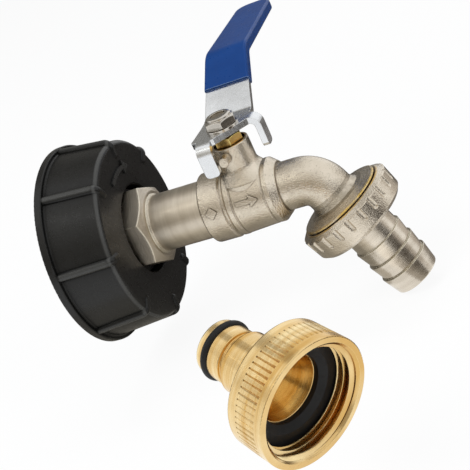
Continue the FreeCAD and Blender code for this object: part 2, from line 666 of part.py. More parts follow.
def stem():
    """Stem: blade in the ball's slot, collar, shaft with ring groove, square for the lever and a stud."""
    collar_z = BALL_RADIUS + SLIP_GAP
    collar_top = CAVITY_RADIUS + STEM_COLLAR_THICKNESS - SLIP_GAP
    groove_end = STEM_GROOVE_Z + STEM_GROOVE_WIDTH
    groove_floor = STEM_RADIUS - 2 * RING_RADIUS + SLIP_GAP
    square_z = GLAND_TOP_Z + SLIP_GAP
    shaft = turned([
        (collar_z, 0),
        (collar_z, STEM_COLLAR_RADIUS),
        (collar_top, STEM_COLLAR_RADIUS),
        (collar_top, STEM_RADIUS),
        (STEM_GROOVE_Z, STEM_RADIUS),
        (STEM_GROOVE_Z, groove_floor),
        (groove_end, groove_floor),
        (groove_end, STEM_RADIUS),
        (square_z, STEM_RADIUS),
        (square_z, 0),
    ])
    corner = FreeCAD.Vector(square_z, -STEM_SQUARE / 2, -STEM_SQUARE / 2)
    square = Part.makeBox(PLATE_TOP_Z - square_z, STEM_SQUARE, STEM_SQUARE, corner)
    square = square.common(rod(square_z, PLATE_TOP_Z, STEM_RADIUS))
    stud_radius = STEM_THREAD_RADIUS - STUD_CLEARANCE
    stud = turned([
        (PLATE_TOP_Z - OVERRUN, 0),
        (PLATE_TOP_Z - OVERRUN, stud_radius),
        (LEVER_NUT_TOP_Z - STUD_RECESS, stud_radius, EDGE_BREAK),
        (LEVER_NUT_TOP_Z - STUD_RECESS, 0),
    ])
    blade_low = BALL_RADIUS - BLADE_DEPTH + SLIP_GAP
    blade_high = collar_z + STEM_COLLAR_THICKNESS / 2
    corner = FreeCAD.Vector(blade_low, -BLADE_THICKNESS / 2, -BLADE_LENGTH / 2)
    blade = Part.makeBox(blade_high - blade_low, BLADE_THICKNESS, BLADE_LENGTH, corner)
    blade = blade.common(rod(blade_low, blade_high, STEM_COLLAR_RADIUS - EDGE_BREAK))
    return upright(shaft.fuse([square, stud, blade]).removeSplitter())


def stem_ring():
    """Rubber ring in the stem's groove."""
    centre = FreeCAD.Vector(STEM_X, 0, STEM_GROOVE_Z + STEM_GROOVE_WIDTH / 2)
    wire = RING_RADIUS - STEM_CLEARANCE / 2
    return Part.makeTorus(STEM_BORE_RADIUS - STEM_CLEARANCE / 2 - RING_RADIUS, wire, centre, Z_AXIS)


def stem_packing():
    """Plastic packing sleeve at the bottom of the stuffing box."""
    top = STUFFING_FLOOR_Z + PACKING_HEIGHT
    inner = STEM_RADIUS + SPIGOT_CLEARANCE
    return upright(ring(STUFFING_FLOOR_Z, top, inner, STUFFING_RADIUS - SPIGOT_CLEARANCE))


def gland_nut():
    """Gland nut: round thread down to the packing and a hexagon on top."""
    head = hex_bar(GLAND_HEX_Z, GLAND_TOP_Z, GLAND_FLATS, GLAND_TURN)
    packing_top = STUFFING_FLOOR_Z + PACKING_HEIGHT
    thread = rod(packing_top, GLAND_HEX_Z + OVERRUN, STUFFING_RADIUS - SPIGOT_CLEARANCE)
    bore = rod(STUFFING_FLOOR_Z, GLAND_TOP_Z + OVERRUN, STEM_BORE_RADIUS)
    return upright(head.fuse(thread).cut(bore).removeSplitter())


def lever_plan(stations, low, high):
    """Upright prism over a plan that is even about the lever's middle line; stations are (y, half width)."""
    right = [(LEVER_SHIFT + step[1], step[0]) + tuple(step[2:]) for step in stations]
    left = [(LEVER_SHIFT - step[1], step[0]) + tuple(step[2:]) for step in reversed(stations)]
    return plan_prism(right + left, low, high)


def lever_path():
    """Middle line of the lever from the hub to its tip: distance from the stem, height, bend radius."""
    return [
        (0, PLATE_MID_Z, 0),
        (BEND_Y, PLATE_MID_Z, BEND_RADIUS),
        (FOLD_Y, PLATE_MID_Z + FOLD_RISE, FOLD_RADIUS),
        (TIP_Y, PLATE_MID_Z + FOLD_RISE - TIP_DROP, 0),
    ]


def bent_bar(path, thickness):
    """Bent strip along +Y from the stem, wider than anything that is cut from it."""
    blank = 2 * STRIP_HUB_WIDTH
    face = Part.Face(strip_outline(path, thickness))
    bar = face.extrude(Y_AXIS * blank)
    bar.translate(FreeCAD.Vector(0, -blank / 2, 0))
    bar.rotate(ORIGIN, Z_AXIS, 90)
    bar.translate(X_AXIS * STEM_X)
    return bar


def lever_tab():
    """One stop tab: bent down at right angles from the hub, along its own +X."""
    path = [
        (TAB_REACH / 3, PLATE_MID_Z, 0),
        (TAB_REACH, PLATE_MID_Z, TAB_BEND_RADIUS),
        (TAB_REACH, TAB_BOTTOM_Z, 0),
    ]
    bar = Part.Face(strip_outline(path, PLATE_THICKNESS)).extrude(Y_AXIS * TAB_WIDTH)
    side = Part.Face(outline([
        (0, TAB_BOTTOM_Z, TAB_CORNER_RADIUS),
        (TAB_WIDTH, TAB_BOTTOM_Z, TAB_CORNER_RADIUS),
        (TAB_WIDTH, PLATE_TOP_Z),
        (0, PLATE_TOP_Z),
    ]))
    side.rotate(ORIGIN, Z_AXIS, 90)
    return bar.common(side.extrude(X_AXIS * (TAB_REACH + PLATE_THICKNESS)))


def lever_plate():
    """Bent sheet lever: hub with square hole, two stop tabs and the long strip."""
    hub_half = STRIP_HUB_WIDTH / 2
    fold_half = GRIP_FOLD_WIDTH / 2 - GRIP_SIDE_WALL
    tip_half = GRIP_TIP_WIDTH / 2 - GRIP_SIDE_WALL
    strip = bent_bar(lever_path(), PLATE_THICKNESS)
    strip = strip.common(lever_plan([
        (STRIP_START_Y, hub_half),
        (BEND_Y, hub_half),
        (MOUTH_Y, STRIP_MOUTH_WIDTH / 2),
        (FOLD_Y, fold_half),
        (TIP_Y - 2 * GRIP_SIDE_WALL, tip_half, GRIP_TIP_RADIUS - GRIP_SIDE_WALL),
    ], 0, LEVER_TOP_Z))
    stop_left = STOP_X - STOP_RADIUS - STOP_GAP
    stop_right = STOP_X + STOP_RADIUS + STOP_GAP
    bend_line = TAB_REACH - TAB_BEND_RADIUS
    left_edge = LEVER_SHIFT - hub_half
    right_edge = LEVER_SHIFT + hub_half
    hub = plan_prism([
        (stop_left - TAB_WIDTH, -bend_line),
        (stop_left, -bend_line),
        (stop_left + HUB_CORNER, HUB_CORNER / 2 - bend_line, HUB_CORNER / 2),
        (bend_line - HUB_CORNER, stop_right - HUB_CORNER, HUB_CORNER),
        (bend_line, stop_right),
        (bend_line, stop_right + TAB_WIDTH),
        (right_edge, stop_right + TAB_WIDTH + EDGE_BREAK),
        (right_edge, BEND_Y - BEND_RADIUS),
        (left_edge, BEND_Y - BEND_RADIUS),
        (left_edge, STEM_SQUARE, BEND_RADIUS),
        (left_edge - HUB_CORNER, 2 * HUB_CORNER - bend_line, HUB_CORNER),
        (stop_left - TAB_WIDTH, HUB_CORNER - bend_line, EDGE_BREAK),
    ], PLATE_TOP_Z - PLATE_THICKNESS, PLATE_TOP_Z)
    inlet_tab = placed(lever_tab(), STEM_X + stop_left - TAB_WIDTH, 0, 0, FreeCAD.Rotation(Z_AXIS, -90))
    outlet_tab = placed(lever_tab(), STEM_X, stop_right, 0, FreeCAD.Rotation(Z_AXIS, 0))
    half = STEM_SQUARE / 2 + SLIP_GAP
    corner = FreeCAD.Vector(STEM_X - half, -half, PLATE_MID_Z - PLATE_THICKNESS)
    hole = Part.makeBox(2 * half, 2 * half, 2 * PLATE_THICKNESS, corner)
    return hub.fuse([strip, inlet_tab, outlet_tab]).cut(hole).removeSplitter()


def lever_grip():
    """Moulded sleeve over the end of the lever, open towards the hub."""
    path = lever_path()[2:]
    path.insert(0, (MOUTH_Y, MOUTH_Z, 0))
    mouth_half = STRIP_MOUTH_WIDTH / 2 + GRIP_SIDE_WALL
    sleeve = bent_bar(path, GRIP_THICKNESS)
    sleeve = sleeve.common(lever_plan([
        (BEND_Y, mouth_half),
        (MOUTH_Y, mouth_half),
        (FOLD_Y, GRIP_FOLD_WIDTH / 2),
        (TIP_Y, GRIP_TIP_WIDTH / 2, GRIP_TIP_RADIUS),
    ], 0, LEVER_TOP_Z))
    mouth = [edge for edge in sleeve.Edges if edge.BoundBox.YMax < MOUTH_Y + GRIP_THICKNESS]
    edges = [edge for edge in sleeve.Edges if not any(edge.isSame(other) for other in mouth)]
    sleeve = sleeve.makeFillet(GRIP_EDGE_RADIUS, edges)
    return sleeve.cut(lever_plate())


def spring_washer():
    """Split spring washer under the lever's nut."""
    whole = ring(PLATE_TOP_Z, LEVER_NUT_Z, STEM_THREAD_RADIUS + SLIP_GAP, SPRING_WASHER_RADIUS)
    corner = FreeCAD.Vector(PLATE_TOP_Z - OVERRUN, -SPRING_WASHER_SLIT / 2, 0)
    height = SPRING_WASHER_THICKNESS + 2 * OVERRUN
    slit = Part.makeBox(height, SPRING_WASHER_SLIT, SPRING_WASHER_RADIUS + OVERRUN, corner)
    return upright(whole.cut(slit))


def lever_nut():
    """Hexagon nut with a round locking collar on top."""
    hex_top = LEVER_NUT_Z + LEVER_NUT_HEX_HEIGHT
    body = hex_bar(LEVER_NUT_Z, hex_top, LEVER_NUT_FLATS, LEVER_NUT_TURN)
    collar = turned([
        (hex_top - OVERRUN, 0),
        (hex_top - OVERRUN, LEVER_NUT_COLLAR_RADIUS),
        (LEVER_NUT_TOP_Z, LEVER_NUT_COLLAR_RADIUS, MOULD_FILLET),
        (LEVER_NUT_TOP_Z, 0),
    ])
    bore = rod(LEVER_NUT_Z - OVERRUN, LEVER_NUT_TOP_Z + OVERRUN, STEM_THREAD_RADIUS)
    return upright(body.fuse(collar).cut(bore).removeSplitter())


def flute_cutter():
    """Round-ended groove cutter for the union nut, open towards its rear."""
    centre = NUT_RADIUS + FLUTE_RADIUS - FLUTE_DEPTH
    end = NUT_REAR_S + (NUT_FRONT_S - NUT_REAR_S) * FLUTE_SHARE - FLUTE_RADIUS
    start = FreeCAD.Vector(NUT_REAR_S - OVERRUN, 0, centre)
    bar = Part.makeCylinder(FLUTE_RADIUS, end - start.x, start, X_AXIS)
    return bar.fuse(Part.makeSphere(FLUTE_RADIUS, FreeCAD.Vector(end, 0, centre)))


def union_nut():
    """Fluted union nut: threaded skirt, front wall round the hose tail, chamfered rims."""
    bore = OUTLET_THREAD_RADIUS + NUT_THREAD_CLEARANCE
    hole = BARB_RADIUS + NUT_TAIL_CLEARANCE
    shell = turned([
        (NUT_REAR_S, bore + NUT_BORE_CHAMFER),
        (NUT_REAR_S, NUT_REAR_RADIUS),
        (NUT_REAR_S + NUT_REAR_CHAMFER, NUT_RADIUS, EDGE_BREAK),
        (NUT_FRONT_S - NUT_FRONT_CHAMFER, NUT_RADIUS - NUT_DRAFT, EDGE_BREAK),
        (NUT_FRONT_S, NUT_RADIUS - NUT_FRONT_CHAMFER - NUT_DRAFT, EDGE_BREAK),
        (NUT_FRONT_S, hole),
        (NUT_WALL_S, hole),
        (NUT_WALL_S, bore),
        (NUT_REAR_S + NUT_BORE_CHAMFER, bore),
    ])
    return on_outlet(shell.cut(around_x(flute_cutter(), FLUTE_COUNT, FLUTE_PHASE)))


def hose_washer():
    """Flat rubber washer between the spigot and the hose tail."""
    outer = OUTLET_ROOT_RADIUS - SLIP_GAP
    return on_outlet(ring(SPIGOT_END_S, HOSE_WASHER_END_S, HOSE_WASHER_BORE_RADIUS, outer))


def hose_tail():
    """Hose tail: flange held by the union nut, plain neck and three barbs."""
    corners = [
        (TAIL_FLANGE_S, HOSE_TAIL_BORE_RADIUS),
        (TAIL_FLANGE_S, TAIL_FLANGE_RADIUS, EDGE_BREAK),
        (TAIL_FLANGE_END_S, TAIL_FLANGE_RADIUS, EDGE_BREAK),
        (TAIL_FLANGE_END_S, HOSE_TAIL_RADIUS, EDGE_BREAK),
    ]
    root = HOSE_TAIL_RADIUS
    for index in range(BARB_COUNT):
        step = BARB_START_S + BARB_PITCH * index
        corners.append((step, root))
        corners.append((step, BARB_RADIUS, BARB_TIP_RADIUS))
        root = BARB_ROOT_RADIUS
    corners.append((HOSE_TAIL_END_S, BARB_ROOT_RADIUS - EDGE_BREAK, HOSE_TAIL_END_CHAMFER))
    corners.append((HOSE_TAIL_END_S, HOSE_TAIL_BORE_RADIUS))
    return on_outlet(turned(corners))


def connector_body():
    """Loose quick connector: fluted female nut, shoulder, waist and nose with a ring groove."""
    ring_start = -NOSE_RING_S - NOSE_RING_WIRE
    ring_end = -NOSE_RING_S + NOSE_RING_WIRE
    ring_floor = NOSE_RING_RADIUS - 2 * NOSE_RING_WIRE
    foot_s = -CONNECTOR_NUT_LENGTH - SHOULDER_SLOPE
    shell = turned([
        (0, CONNECTOR_THREAD_RADIUS + CONNECTOR_MOUTH_CHAMFER),
        (0, CONNECTOR_RADIUS, EDGE_BREAK),
        (-CONNECTOR_NUT_LENGTH, CONNECTOR_RADIUS - CONNECTOR_DRAFT, 2 * EDGE_BREAK),
        (foot_s, SHOULDER_FOOT_RADIUS, MOULD_FILLET),
        (foot_s - SHOULDER_SLOPE, SHOULDER_RADIUS, MOULD_FILLET),
        (-SHOULDER_END, SHOULDER_RADIUS, 2 * EDGE_BREAK),
        (EDGE_BREAK - SHOULDER_END - OVERRUN, WAIST_RADIUS, EDGE_BREAK),
        (EDGE_BREAK - NOSE_START, WAIST_RADIUS, EDGE_BREAK),
        (-NOSE_START, NOSE_RADIUS, EDGE_BREAK),
        (ring_end, NOSE_RADIUS, EDGE_BREAK / 2),
        (ring_end, ring_floor),
        (ring_start, ring_floor),
        (ring_start, NOSE_RADIUS, EDGE_BREAK / 2),
        (-NOSE_END, NOSE_RADIUS - EDGE_BREAK / 2, 2 * EDGE_BREAK),
        (-NOSE_END, CONNECTOR_BORE_RADIUS),
        (-CONNECTOR_FUNNEL_END, CONNECTOR_BORE_RADIUS),
        (-CONNECTOR_FUNNEL_END, CONNECTOR_FUNNEL_RADIUS),
        (WASHER_SEAT_S, CONNECTOR_LIP_RADIUS, EDGE_BREAK),
        (WASHER_SEAT_S, UNDERCUT_RADIUS),
        (-CONNECTOR_THREAD_LENGTH, UNDERCUT_RADIUS),
        (-CONNECTOR_THREAD_LENGTH, CONNECTOR_THREAD_RADIUS),
        (-CONNECTOR_MOUTH_CHAMFER, CONNECTOR_THREAD_RADIUS),
    ])
    length = CONNECTOR_NUT_LENGTH - CONNECTOR_FRONT_BAND - CONNECTOR_REAR_BAND
    half = math.pi * CONNECTOR_RADIUS / CONNECTOR_FLUTE_COUNT * CONNECTOR_FLUTE_SHARE
    floor = CONNECTOR_RADIUS - CONNECTOR_FLUTE_DEPTH
    top = CONNECTOR_RADIUS + CONNECTOR_FLUTE_DEPTH
    start = -CONNECTOR_NUT_LENGTH + CONNECTOR_REAR_BAND
    corners = [FreeCAD.Vector(start, 0, floor), FreeCAD.Vector(start, half * 2, top),
               FreeCAD.Vector(start, -half * 2, top)]
    notch = Part.Face(Part.makePolygon(corners + corners[:1])).extrude(X_AXIS * length)
    return on_connector(shell.cut(around_x(notch, CONNECTOR_FLUTE_COUNT, 0)))


def connector_washer():
    """Rubber washer in the undercut behind the connector's thread, its hole dished towards the mouth."""
    face_s = -CONNECTOR_THREAD_LENGTH
    outer = UNDERCUT_RADIUS - SLIP_GAP
    return on_connector(turned([
        (WASHER_SEAT_S, CONNECTOR_WASHER_BORE_RADIUS),
        (WASHER_SEAT_S, outer),
        (face_s, outer),
        (face_s, CONNECTOR_WASHER_BORE_RADIUS + CONNECTOR_WASHER_CHAMFER),
        (face_s - CONNECTOR_WASHER_THICKNESS / 2, CONNECTOR_WASHER_BORE_RADIUS),
    ]))


def connector_ring():
    """Rubber ring in the groove of the connector's nose."""
    centre = FreeCAD.Vector(-NOSE_RING_S, 0, 0)
    return on_connector(Part.makeTorus(NOSE_RING_RADIUS - NOSE_RING_WIRE, NOSE_RING_WIRE, centre, X_AXIS))


def build():
    """Every sub-part under its own name."""
    return {
        "tank_cap": tank_cap(),
        "cap_seal": cap_seal(),
        "hub_washer": hub_washer(),
        "lock_nut": lock_nut(),
        "tail_piece": tail_piece(),
        "body_ring": body_ring(),
        "valve_body": valve_body(),
        "inlet_seat": seat(-1),
        "outlet_seat": seat(1),
        "ball": ball(),
        "stem": stem(),
        "stem_ring": stem_ring(),
        "stem_packing": stem_packing(),
        "gland_nut": gland_nut(),
        "lever_plate": lever_plate(),
        "lever_grip": lever_grip(),
        "spring_washer": spring_washer(),
        "lever_nut": lever_nut(),
        "union_nut": union_nut(),
        "hose_washer": hose_washer(),
        "hose_tail": hose_tail(),
        "connector_body": connector_body(),
        "connector_washer": connector_washer(),
        "connector_ring": connector_ring(),
    }


os.makedirs("parts", exist_ok=True)
for node, shape in build().items():
    shape.exportStep("parts/" + node + ".step")
    print(node, "solids", len(shape.Solids), "valid", shape.isValid(), "volume", round(shape.Volume, 1))
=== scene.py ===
import math

import bpy
from mathutils import Matrix, Vector


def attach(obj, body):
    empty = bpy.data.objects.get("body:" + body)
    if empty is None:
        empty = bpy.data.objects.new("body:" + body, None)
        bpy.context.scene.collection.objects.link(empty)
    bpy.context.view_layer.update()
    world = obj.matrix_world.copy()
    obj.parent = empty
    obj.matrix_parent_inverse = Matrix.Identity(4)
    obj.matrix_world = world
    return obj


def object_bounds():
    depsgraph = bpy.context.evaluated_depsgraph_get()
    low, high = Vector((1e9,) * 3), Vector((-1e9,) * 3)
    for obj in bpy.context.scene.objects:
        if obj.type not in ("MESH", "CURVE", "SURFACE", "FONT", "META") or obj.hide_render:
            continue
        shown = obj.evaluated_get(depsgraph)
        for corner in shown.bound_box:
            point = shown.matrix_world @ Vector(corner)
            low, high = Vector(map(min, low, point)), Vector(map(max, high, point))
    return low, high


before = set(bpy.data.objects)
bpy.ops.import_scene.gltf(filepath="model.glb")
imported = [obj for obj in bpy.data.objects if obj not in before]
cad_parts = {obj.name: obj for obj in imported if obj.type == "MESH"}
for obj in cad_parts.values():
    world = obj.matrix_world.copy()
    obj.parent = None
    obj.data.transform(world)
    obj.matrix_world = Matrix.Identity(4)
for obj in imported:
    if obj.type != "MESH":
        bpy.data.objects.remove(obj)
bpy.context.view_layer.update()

MM = 0.001

# Places and radii in the part's frame, in millimetres, and directions in degrees
STEM_X = 72.04
CORNER_X = 97.45
OUTLET_TILT = 66.4
BARREL_RADIUS = 13.65
SOCKET_RADIUS = 12.85
CAP_TAPER = 0.106
CROWN_RADIUS = 39.69
CAP_FACE_X = 24.9
FLANGE_FRONT_X = 3.4
HEX_END_X = 32.3
CONNECTOR_PLACE = (117.6, -139.5, -2.75)
CONNECTOR_TURN = -38.29
CONNECTOR_TILT = 15.96

# Painted highlight on the rim of the cap, in millimetres: its radius, its start and stop behind the face,
# and how it fades
FACE_EDGE_RADIUS = 34.2
EDGE_START = 1.7
EDGE_STOP = 0.2
HIGHLIGHT_FADE = 0.6
CROWN_FADE = 0.5

# Widths over which a tint and the forged surface fade out, in millimetres
TINT_BLUR = 0.2
FORGING_BLUR = 0.3

# Threads in millimetres: first and last station, pitch, radius of the wall and radius of the crest
G1_PITCH = 2.309
G34_PITCH = 1.814
TANK_PITCH = 6.0
OUTLET_START = 13.7
CONNECTOR_THREAD = (-7.4, -1.1, G1_PITCH, 16.65, 15.25)
TANK_THREAD = (2.2, 8.9, TANK_PITCH, 30.3, 27.9)
INLET_THREAD = (12.0, 19.8, G34_PITCH, 12.1, 13.15)
OUTLET_THREAD = (OUTLET_START, 18.6, G1_PITCH, 15.15, 16.5)
UNION_THREAD = (OUTLET_START + G1_PITCH / 2, 21.4, G1_PITCH, 16.75, 15.4)

# Section of a thread's ridge: shares of the pitch and of the height, and half the foot's width in pitches
RIDGE = ((-0.31, 0.0), (-0.13, 0.86), (-0.07, 1.0), (0.07, 1.0), (0.13, 0.86), (0.31, 0.0))
RIDGE_FOOT = 0.34

# How deep ridges and marks are sunk, in millimetres, and the degrees over which a ridge's ends fade
RIDGE_ROOT = 0.12
MARK_ROOT = 0.25
RIDGE_FADE = 50

# Fineness of the meshes, and the angle in degrees from which an edge stays sharp
STEPS_PER_TURN = 72
MARK_COLUMNS = 8
SHARP_ANGLE = 50

# Marks in millimetres: places along the mark with half its width there, and the heights
ARROW = [(0, 0.8), (5.6, 0.8), (5.61, 2.3), (9.0, 0.08)]
LOZENGE = [(0, 0.08), (2.3, 2.3), (4.6, 0.08)]
TURN_ARROW = [(i * 0.7, 0.9) for i in range(21)] + [(14.01, 2.8), (16.4, 1.35), (18.6, 0.08)]
TURN_ARROW_RADIUS = 25.5
ARROW_HEIGHT = 0.55
LOZENGE_HEIGHT = 0.52
TURN_ARROW_HEIGHT = 0.7

# Camera, fitted to the photograph's view: its place in millimetres and its own axes
CAMERA_PLACE = (218.6475, -376.8752, 159.1025)
CAMERA_UP = (0.25364026, 0.49031271, 0.83382256)
CAMERA_BACK = (0.36095674, -0.84772215, 0.38868675)
PHOTO_PIXELS = 470.0
FOCAL_PIXELS = 1150.0
SENSOR_WIDTH = 36.0
FOCAL_LENGTH = FOCAL_PIXELS / PHOTO_PIXELS * SENSOR_WIDTH

# Colours and grain that materials share
NICKEL = (0.78, 0.705, 0.59)
NICKEL_SHADE = (0.62, 0.55, 0.445)
BRASS = (1.0, 0.81, 0.46)
BRASS_SHADE = (0.74, 0.46, 0.15)
# The crevice colours are painted shade, mixed into corners, creases and grooves
BRASS_CREVICE_SHADE = (0.32, 0.14, 0.03)
TURNED_CREVICE_SHADE = (0.12, 0.09, 0.05)
CAST_CREVICE_SHADE = (0.12, 0.085, 0.05)
RIM_HIGHLIGHT_BLACK = (0.055, 0.055, 0.052)
BLASTED = {"scale": 2000, "detail": 2, "roughness": 0.55}


def along(origin, turn, tilt):
    """Matrix from a local frame in millimetres to the part's frame in metres.

    Local X starts at the origin, turned round Z and then tilted down, both in degrees.
    """
    spin = Matrix.Rotation(math.radians(turn), 4, "Z") @ Matrix.Rotation(math.radians(tilt), 4, "Y")
    return Matrix.Scale(MM, 4) @ Matrix.Translation(origin) @ spin


INLET = along((0, 0, 0), 0, 0)
OUTLET = along((CORNER_X, 0, 0), 0, OUTLET_TILT)
STEM = along((STEM_X, 0, 0), 0, -90)
CONNECTOR = along(CONNECTOR_PLACE, CONNECTOR_TURN, CONNECTOR_TILT)


def combine(tree, operation, *values):
    """Adds a math node; each value is a number or a socket."""
    node = tree.nodes.new("ShaderNodeMath")
    node.operation = operation
    for socket, value in zip(node.inputs, values):
        if isinstance(value, (int, float)):
            socket.default_value = value
        else:
            tree.links.new(value, socket)
    return node.outputs[0]


class Nodes:
    """Short way to write a material's node tree."""

    def __init__(self, name):
        self.material = bpy.data.materials.new(name)
        self.material.use_nodes = True
        self.tree = self.material.node_tree
        self.shader = self.tree.nodes["Principled BSDF"]
        self.coords = self.add("ShaderNodeTexCoord").outputs["Object"]

    def add(self, kind, **values):
        node = self.tree.nodes.new(kind)
        for key, value in values.items():
            setattr(node, key, value)
        return node

    def link(self, source, target):
        self.tree.links.new(source, target)

    def place(self, rotation=(0, 0, 0), scale=(1, 1, 1), location=(0, 0, 0)):
        """Object coordinates, turned and then stretched along the turned axes."""
        turned = self.add("ShaderNodeMapping", vector_type="POINT")
        turned.inputs["Location"].default_value = location
        turned.inputs["Rotation"].default_value = [math.radians(a) for a in rotation]
        self.link(self.coords, turned.inputs["Vector"])
        stretched = self.add("ShaderNodeMapping", vector_type="POINT")
        stretched.inputs["Scale"].default_value = scale
        self.link(turned.outputs["Vector"], stretched.inputs["Vector"])
        return stretched.outputs["Vector"]

    def noise(self, vector, scale, detail, roughness):
        node = self.add("ShaderNodeTexNoise")
        node.inputs["Scale"].default_value = scale
        node.inputs["Detail"].default_value = detail
        node.inputs["Roughness"].default_value = roughness
        self.link(vector, node.inputs["Vector"])
        return node.outputs["Fac"]

    def span(self, value, low, high, out_low, out_high):
        """Maps a value from one range to another, clamped."""
        node = self.add("ShaderNodeMapRange")
        node.inputs["From Min"].default_value = low
        node.inputs["From Max"].default_value = high
        node.inputs["To Min"].default_value = out_low
        node.inputs["To Max"].default_value = out_high
        self.link(value, node.inputs["Value"])
        return node.outputs["Result"]

    def rise(self, value, start, end, top=1.0):
        """Climbs from 0 to the top between two distances in millimetres."""
        return self.span(value, start * MM, end * MM, 0.0, top)

    def fall(self, value, start, end):
        """Drops from 1 to 0 between two distances in millimetres."""
        return self.span(value, start * MM, end * MM, 1.0, 0.0)

    def mix(self, factor, first, second):
        """Mixes two colours; each is a tuple or a socket."""
        node = self.add("ShaderNodeMix", data_type="RGBA")
        self.link(factor, node.inputs["Factor"])
        for socket, value in ((node.inputs[6], first), (node.inputs[7], second)):
            if isinstance(value, tuple):
                socket.default_value = (*value, 1.0)
            else:
                self.link(value, socket)
        return node.outputs[2]

    def station(self, place):
        """Distance along a place's own axis, in metres from its origin, and distance from that axis."""
        rotation = place.to_3x3().normalized().inverted()
        origin = -(rotation @ place.to_translation())
        local = self.place(rotation=along_axis(place), location=origin)
        split = self.add("ShaderNodeSeparateXYZ")
        self.link(local, split.inputs[0])
        flat = self.add("ShaderNodeCombineXYZ")
        self.link(split.outputs["Y"], flat.inputs["Y"])
        self.link(split.outputs["Z"], flat.inputs["Z"])
        length = self.add("ShaderNodeVectorMath", operation="LENGTH")
        self.link(flat.outputs[0], length.inputs[0])
        return split.outputs["X"], length.outputs["Value"]

    def product(self, first, second):
        return combine(self.tree, "MULTIPLY", first, second)

    def openness(self, distance):
        """Share from 0 in tight corners to 1 on open faces."""
        node = self.add("ShaderNodeAmbientOcclusion", samples=6)
        node.inputs["Distance"].default_value = distance
        return node.outputs["AO"]

    def paint_crevice_shade(self, colour, dark, distance, deep=0.35, shallow=0.85):
        """Paints shade into the corners and crevices by mixing in a dark colour."""
        share = self.span(self.openness(distance), deep, shallow, 0.75, 0.0)
        return self.mix(share, colour, dark)

    def edges(self, radius):
        """Share from 0 on open faces to 1 along the sharp edges."""
        face = self.add("ShaderNodeNewGeometry").outputs["Normal"]
        dot = self.add("ShaderNodeVectorMath", operation="DOT_PRODUCT")
        self.link(face, dot.inputs[0])
        self.link(self.soft_edges(radius), dot.inputs[1])
        return self.span(dot.outputs["Value"], 0.88, 0.99, 1.0, 0.0)

    def soft_edges(self, radius):
        """Normal that rounds the sharp edges, as plating and tumbling do."""
        node = self.add("ShaderNodeBevel", samples=6)
        node.inputs["Radius"].default_value = radius
        return node.outputs["Normal"]

    def bump(self, height, strength, distance, under=None):
        node = self.add("ShaderNodeBump")
        node.inputs["Strength"].default_value = strength
        node.inputs["Distance"].default_value = distance
        self.link(height, node.inputs["Height"])
        if under is not None:
            self.link(under, node.inputs["Normal"])
        return node.outputs["Normal"]

    def finish(self, colour, roughness, normal, **plain):
        self.link(colour, self.shader.inputs["Base Color"])
        self.link(roughness, self.shader.inputs["Roughness"])
        self.link(normal, self.shader.inputs["Normal"])
        for name, value in plain.items():
            self.shader.inputs[name.replace("_", " ")].default_value = value
        return self.material


def along_axis(place):
    """Rotation, in degrees, that brings a place's own X axis back onto X."""
    return [math.degrees(a) for a in place.to_3x3().normalized().inverted().to_euler()]


def scaled(colour, factor):
    """The colour, darker or lighter, and never above 1."""
    return tuple(min(1.0, c * factor) for c in colour)


def cast_metal(name, light, dark, rough, grain_depth, crevice_shade_reach, tints, grain_strength=0.85,
               rounding=0.0004, painted_highlight=0.0):
    """Blasted and plated casting: fine grain, soft waves, small dark pits, thinly plated rims and painted
    shade in corners.

    Each tint is a place, a range of stations, a range of radii and a colour. The last argument is the share
    of a painted highlight, a lighter colour along the sharp edges.
    """
    n = Nodes(name)
    raw = n.place()
    grain = n.noise(raw, **BLASTED)
    wave = n.noise(raw, scale=150, detail=3, roughness=0.5)
    pits = n.noise(raw, scale=1500, detail=2, roughness=0.5)
    cloud = n.span(n.noise(raw, scale=80, detail=4, roughness=0.6), 0.3, 0.7, 0.0, 1.0)
    colour = n.mix(n.span(pits, 0.62, 0.74, 0.0, 0.5), n.mix(cloud, dark, light), scaled(dark, 0.3))
    patchy = n.span(n.noise(raw, scale=190, detail=4, roughness=0.6), 0.38, 0.58, 0.25, 1.0)
    for place, stations, radii, tint in tints:
        share = patchy
        for value, (start, end) in zip(n.station(place), (stations, radii)):
            share = n.product(share, n.rise(value, start, start + TINT_BLUR))
            share = n.product(share, n.fall(value, end - TINT_BLUR, end))
        colour = n.mix(share, colour, tint)
    # Painted shade in the corners and in the fine crevices
    colour = n.paint_crevice_shade(colour, CAST_CREVICE_SHADE, crevice_shade_reach)
    colour = n.paint_crevice_shade(colour, CAST_CREVICE_SHADE, distance=0.0007, deep=0.55, shallow=0.92)
    # Painted highlight: a lighter colour along the sharp edges, where rounded edges would catch the light
    colour = n.mix(n.span(n.edges(0.0004), 0.2, 0.8, 0.0, painted_highlight), colour, scaled(light, 1.3))
    coarse = n.bump(wave, strength=0.25, distance=0.0008, under=n.soft_edges(rounding))
    normal = n.bump(grain, grain_strength, grain_depth, coarse)
    return n.finish(colour, n.span(grain, 0.3, 0.75, *rough), normal, Metallic=1.0)


